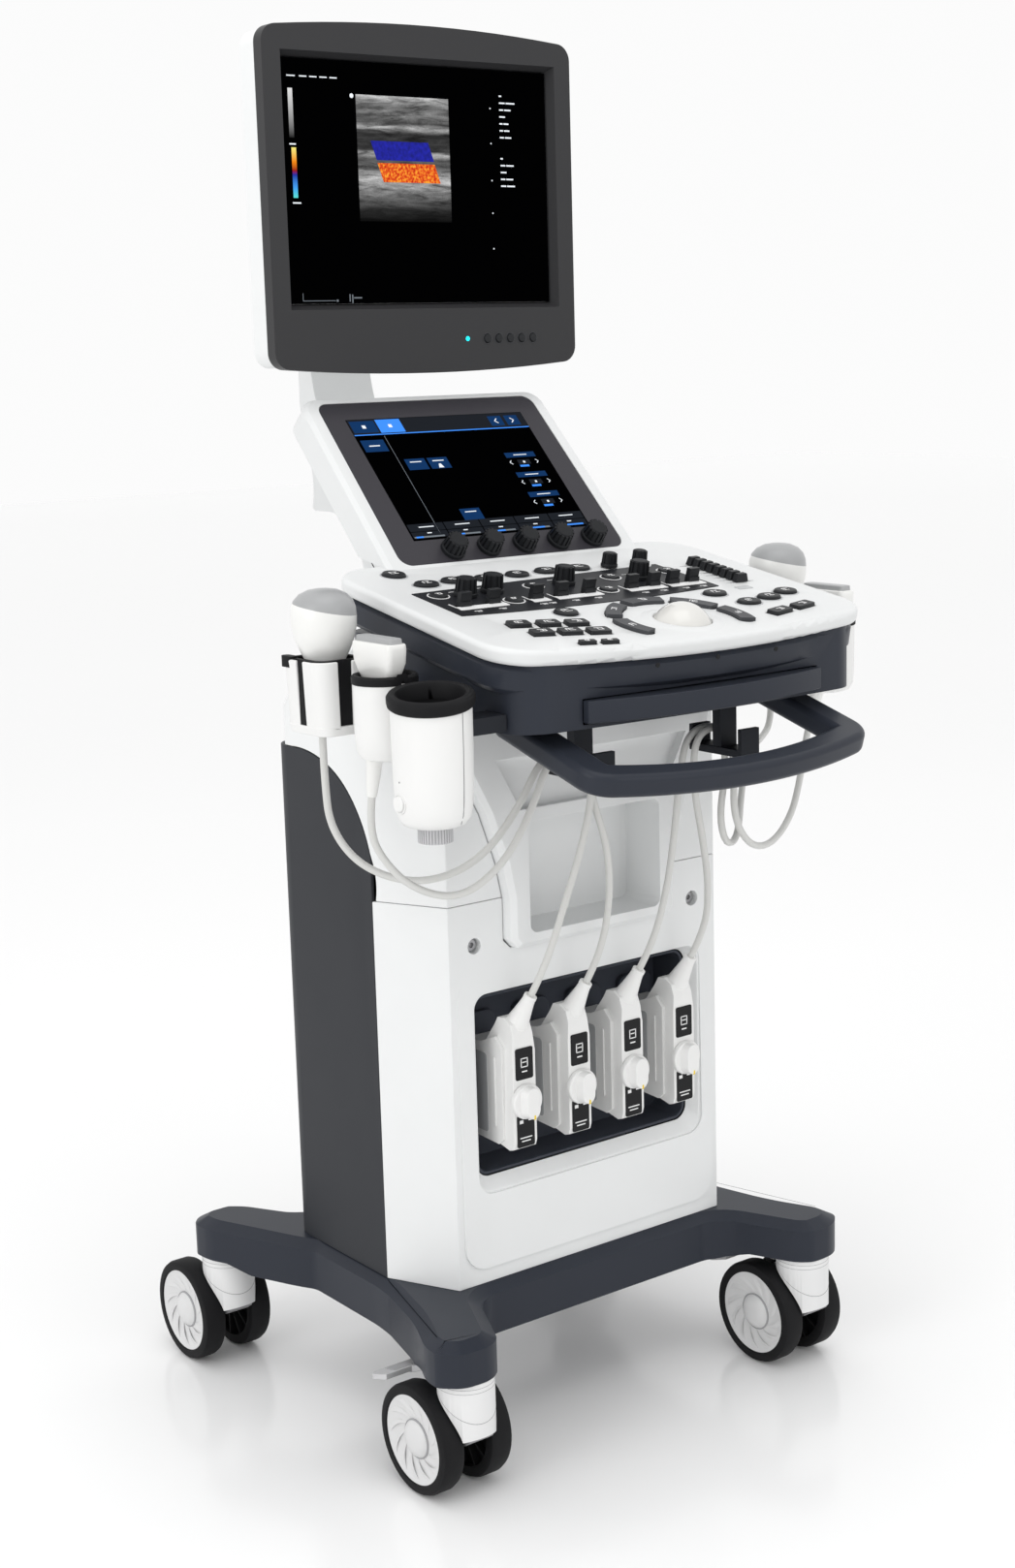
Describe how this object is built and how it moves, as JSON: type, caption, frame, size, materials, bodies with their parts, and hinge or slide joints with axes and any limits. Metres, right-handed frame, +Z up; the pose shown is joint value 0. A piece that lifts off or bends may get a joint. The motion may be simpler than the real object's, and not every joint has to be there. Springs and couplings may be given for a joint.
{
  "type": "ultrasound machine",
  "caption": "Wheeled diagnostic ultrasound cart with a tilting monitor, touch panel, sloping control console, probe holders, probe connectors and four twin-wheel casters.",
  "frame": {"origin": "on the floor, under the middle of the bounding box", "axes": "+Z up, the user stands on the -Y side, +X is to the user's right"},
  "size_m": [0.5862, 0.6481, 1.308],
  "materials": {
    "dark_paint": "satin blue-black paint",
    "dark_plastic": "satin blue-black moulding",
    "sheet": "folded sheet",
    "white_plastic": "fine satin white moulding",
    "black_plastic": "fine matte black moulding",
    "charcoal_plastic": "satin charcoal moulding",
    "screen_glass": "dark coated display cover",
    "rubber": "soft matte black",
    "grey_plastic": "light grey moulding",
    "tyre": "matte polyurethane",
    "cable_jacket": "smooth light grey jacket",
    "steel": "plain sheet and screws"
  },
  "bodies": {
    "machine": {"base_frame": "dark_paint", "front_cover": "white_plastic", "cover_screws": "steel", "side_rear_cover": "dark_plastic", "upper_shell": "white_plastic", "niche_insert": "white_plastic", "pocket_tray": "dark_plastic", "electronics_box": "sheet", "probe_connectors": "white_plastic", "console_top": "white_plastic", "console_base": "dark_plastic", "control_strip": "black_plastic", "handle": "dark_plastic", "console_brackets": "black_plastic", "probe_cups": "white_plastic", "cup_liners": "rubber", "probes": "white_plastic", "touch_housing": "white_plastic", "touch_panel": "screen_glass", "neck": "white_plastic", "cable_convex_left": "cable_jacket", "cable_linear_left": "cable_jacket", "cable_linear_right": "cable_jacket", "cable_convex_right": "cable_jacket"},
    "caster_swivel_fl": {"caster_swivel_fl": "grey_plastic"},
    "caster_wheels_fl": {"caster_wheels_fl": "tyre"},
    "caster_swivel_fr": {"caster_swivel_fr": "grey_plastic"},
    "caster_wheels_fr": {"caster_wheels_fr": "tyre"},
    "caster_swivel_rl": {"caster_swivel_rl": "grey_plastic"},
    "caster_wheels_rl": {"caster_wheels_rl": "tyre"},
    "caster_swivel_rr": {"caster_swivel_rr": "grey_plastic"},
    "caster_wheels_rr": {"caster_wheels_rr": "tyre"},
    "brake_pedal_fl": {"brake_pedal_fl": "grey_plastic"},
    "brake_pedal_fr": {"brake_pedal_fr": "grey_plastic"},
    "monitor_mount": {"monitor_mount": "white_plastic"},
    "monitor": {"monitor_bezel": "charcoal_plastic", "monitor_rear": "white_plastic", "monitor_screen": "screen_glass"},
    "monitor_buttons": {"monitor_buttons": "black_plastic"},
    "drawer": {"drawer": "dark_plastic"},
    "trackball": {"trackball": "white_plastic"},
    "panel_keys": {"panel_keys": "black_plastic"},
    "tgc_sliders": {"tgc_sliders": "black_plastic"},
    "panel_knob_1": {"panel_knob_1": "black_plastic"},
    "panel_knob_2": {"panel_knob_2": "black_plastic"},
    "panel_knob_3": {"panel_knob_3": "black_plastic"},
    "panel_knob_4": {"panel_knob_4": "black_plastic"},
    "small_knob_1": {"small_knob_1": "black_plastic"},
    "small_knob_2": {"small_knob_2": "black_plastic"},
    "touch_knob_1": {"touch_knob_1": "black_plastic"},
    "touch_knob_2": {"touch_knob_2": "black_plastic"},
    "touch_knob_3": {"touch_knob_3": "black_plastic"},
    "touch_knob_4": {"touch_knob_4": "black_plastic"},
    "touch_knob_5": {"touch_knob_5": "black_plastic"},
    "lock_knob_1": {"lock_knob_1": "white_plastic"},
    "lock_knob_2": {"lock_knob_2": "white_plastic"},
    "lock_knob_3": {"lock_knob_3": "white_plastic"},
    "lock_knob_4": {"lock_knob_4": "white_plastic"},
    "gel_knob": {"gel_knob": "grey_plastic"},
    "gel_button": {"gel_button": "white_plastic"}
  },
  "joints": [
    {"name": "caster_swivel_fl_turn", "type": "hinge", "parent": "machine", "child": "caster_swivel_fl", "pos_m": [-0.2071, -0.1581, 0.11], "axis": [0, 0, 1], "continuous": true},
    {"name": "caster_wheels_fl_roll", "type": "hinge", "parent": "caster_swivel_fl", "child": "caster_wheels_fl", "pos_m": [-0.2071, -0.1248, 0.051], "axis": [1, 0, 0], "continuous": true},
    {"name": "caster_swivel_fr_turn", "type": "hinge", "parent": "machine", "child": "caster_swivel_fr", "pos_m": [0.2071, -0.1581, 0.11], "axis": [0, 0, 1], "continuous": true},
    {"name": "caster_wheels_fr_roll", "type": "hinge", "parent": "caster_swivel_fr", "child": "caster_wheels_fr", "pos_m": [0.2071, -0.1248, 0.051], "axis": [1, 0, 0], "continuous": true},
    {"name": "caster_swivel_rl_turn", "type": "hinge", "parent": "machine", "child": "caster_swivel_rl", "pos_m": [-0.2295, 0.2227, 0.11], "axis": [0, 0, 1], "continuous": true},
    {"name": "caster_wheels_rl_roll", "type": "hinge", "parent": "caster_swivel_rl", "child": "caster_wheels_rl", "pos_m": [-0.2295, 0.256, 0.051], "axis": [1, 0, 0], "continuous": true},
    {"name": "caster_swivel_rr_turn", "type": "hinge", "parent": "machine", "child": "caster_swivel_rr", "pos_m": [0.2295, 0.2227, 0.11], "axis": [0, 0, 1], "continuous": true},
    {"name": "caster_wheels_rr_roll", "type": "hinge", "parent": "caster_swivel_rr", "child": "caster_wheels_rr", "pos_m": [0.2295, 0.256, 0.051], "axis": [1, 0, 0], "continuous": true},
    {"name": "brake_pedal_fl_press", "type": "hinge", "parent": "caster_swivel_fl", "child": "brake_pedal_fl", "pos_m": [-0.2071, -0.1241, 0.102], "axis": [1, 0, 0], "range_deg": [-7, 0], "stiffness_Nm_per_rad": 2},
    {"name": "brake_pedal_fr_press", "type": "hinge", "parent": "caster_swivel_fr", "child": "brake_pedal_fr", "pos_m": [0.2071, -0.1241, 0.102], "axis": [1, 0, 0], "range_deg": [-7, 0], "stiffness_Nm_per_rad": 2},
    {"name": "monitor_swivel", "type": "hinge", "parent": "machine", "child": "monitor_mount", "pos_m": [0, 0.2699, 1.163], "axis": [0, 0, 1], "range_deg": [-35, 35]},
    {"name": "monitor_tilt", "type": "hinge", "parent": "monitor_mount", "child": "monitor", "pos_m": [0, 0.2359, 1.163], "axis": [1, 0, 0], "range_deg": [-20, 5]},
    {"name": "monitor_buttons_press", "type": "slide", "parent": "monitor", "child": "monitor_buttons", "axis": [0, 1, 0], "range_m": [0, 0.001], "stiffness_N_per_m": 200},
    {"name": "drawer_slide", "type": "slide", "parent": "machine", "child": "drawer", "axis": [0, -1, 0], "range_m": [0, 0.14]},
    {"name": "trackball_roll", "type": "hinge", "parent": "machine", "child": "trackball", "pos_m": [0.003, -0.22057, 0.76031], "axis": [1, 0, 0], "continuous": true},
    {"name": "panel_keys_press", "type": "slide", "parent": "machine", "child": "panel_keys", "axis": [0, 0.1781, -0.984], "range_m": [0, 0.0015], "stiffness_N_per_m": 1500},
    {"name": "tgc_sliders_slide", "type": "slide", "parent": "machine", "child": "tgc_sliders", "axis": [1, 0, 0], "range_m": [-0.01, 0.01]},
    {"name": "panel_knob_1_turn", "type": "hinge", "parent": "machine", "child": "panel_knob_1", "pos_m": [-0.135, -0.09567, 0.80019], "axis": [0, -0.1781, 0.984], "continuous": true},
    {"name": "panel_knob_2_turn", "type": "hinge", "parent": "machine", "child": "panel_knob_2", "pos_m": [-0.104, -0.09272, 0.80073], "axis": [0, -0.1781, 0.984], "continuous": true},
    {"name": "panel_knob_3_turn", "type": "hinge", "parent": "machine", "child": "panel_knob_3", "pos_m": [-0.022, -0.09075, 0.80108], "axis": [0, -0.1781, 0.984], "continuous": true},
    {"name": "panel_knob_4_turn", "type": "hinge", "parent": "machine", "child": "panel_knob_4", "pos_m": [0.06, -0.09764, 0.79984], "axis": [0, -0.1781, 0.984], "continuous": true},
    {"name": "small_knob_1_turn", "type": "hinge", "parent": "machine", "child": "small_knob_1", "pos_m": [0.062, -0.05336, 0.80785], "axis": [0, -0.1781, 0.984], "continuous": true},
    {"name": "small_knob_2_turn", "type": "hinge", "parent": "machine", "child": "small_knob_2", "pos_m": [0.098, -0.05434, 0.80767], "axis": [0, -0.1781, 0.984], "continuous": true},
    {"name": "touch_knob_1_turn", "type": "hinge", "parent": "machine", "child": "touch_knob_1", "pos_m": [-0.0683, 0.01254, 0.82853], "axis": [0, -0.7108, 0.7034], "continuous": true},
    {"name": "touch_knob_2_turn", "type": "hinge", "parent": "machine", "child": "touch_knob_2", "pos_m": [-0.0269, 0.01254, 0.82853], "axis": [0, -0.7108, 0.7034], "continuous": true},
    {"name": "touch_knob_3_turn", "type": "hinge", "parent": "machine", "child": "touch_knob_3", "pos_m": [0.0145, 0.01254, 0.82853], "axis": [0, -0.7108, 0.7034], "continuous": true},
    {"name": "touch_knob_4_turn", "type": "hinge", "parent": "machine", "child": "touch_knob_4", "pos_m": [0.0559, 0.01254, 0.82853], "axis": [0, -0.7108, 0.7034], "continuous": true},
    {"name": "touch_knob_5_turn", "type": "hinge", "parent": "machine", "child": "touch_knob_5", "pos_m": [0.0973, 0.01254, 0.82853], "axis": [0, -0.7108, 0.7034], "continuous": true},
    {"name": "lock_knob_1_turn", "type": "hinge", "parent": "machine", "child": "lock_knob_1", "pos_m": [-0.09675, -0.1121, 0.3315], "axis": [0, -1, 0], "range_deg": [0, 90]},
    {"name": "lock_knob_2_turn", "type": "hinge", "parent": "machine", "child": "lock_knob_2", "pos_m": [-0.03225, -0.1121, 0.3315], "axis": [0, -1, 0], "range_deg": [0, 90]},
    {"name": "lock_knob_3_turn", "type": "hinge", "parent": "machine", "child": "lock_knob_3", "pos_m": [0.03225, -0.1121, 0.3315], "axis": [0, -1, 0], "range_deg": [0, 90]},
    {"name": "lock_knob_4_turn", "type": "hinge", "parent": "machine", "child": "lock_knob_4", "pos_m": [0.09675, -0.1121, 0.3315], "axis": [0, -1, 0], "range_deg": [0, 90]},
    {"name": "gel_knob_turn", "type": "hinge", "parent": "machine", "child": "gel_knob", "pos_m": [-0.256, -0.2111, 0.62], "axis": [0, 0, 1], "range_deg": [-135, 135]},
    {"name": "gel_button_press", "type": "slide", "parent": "machine", "child": "gel_button", "axis": [1, 0, 0], "range_m": [0, 0.0015], "stiffness_N_per_m": 200}
  ]
}
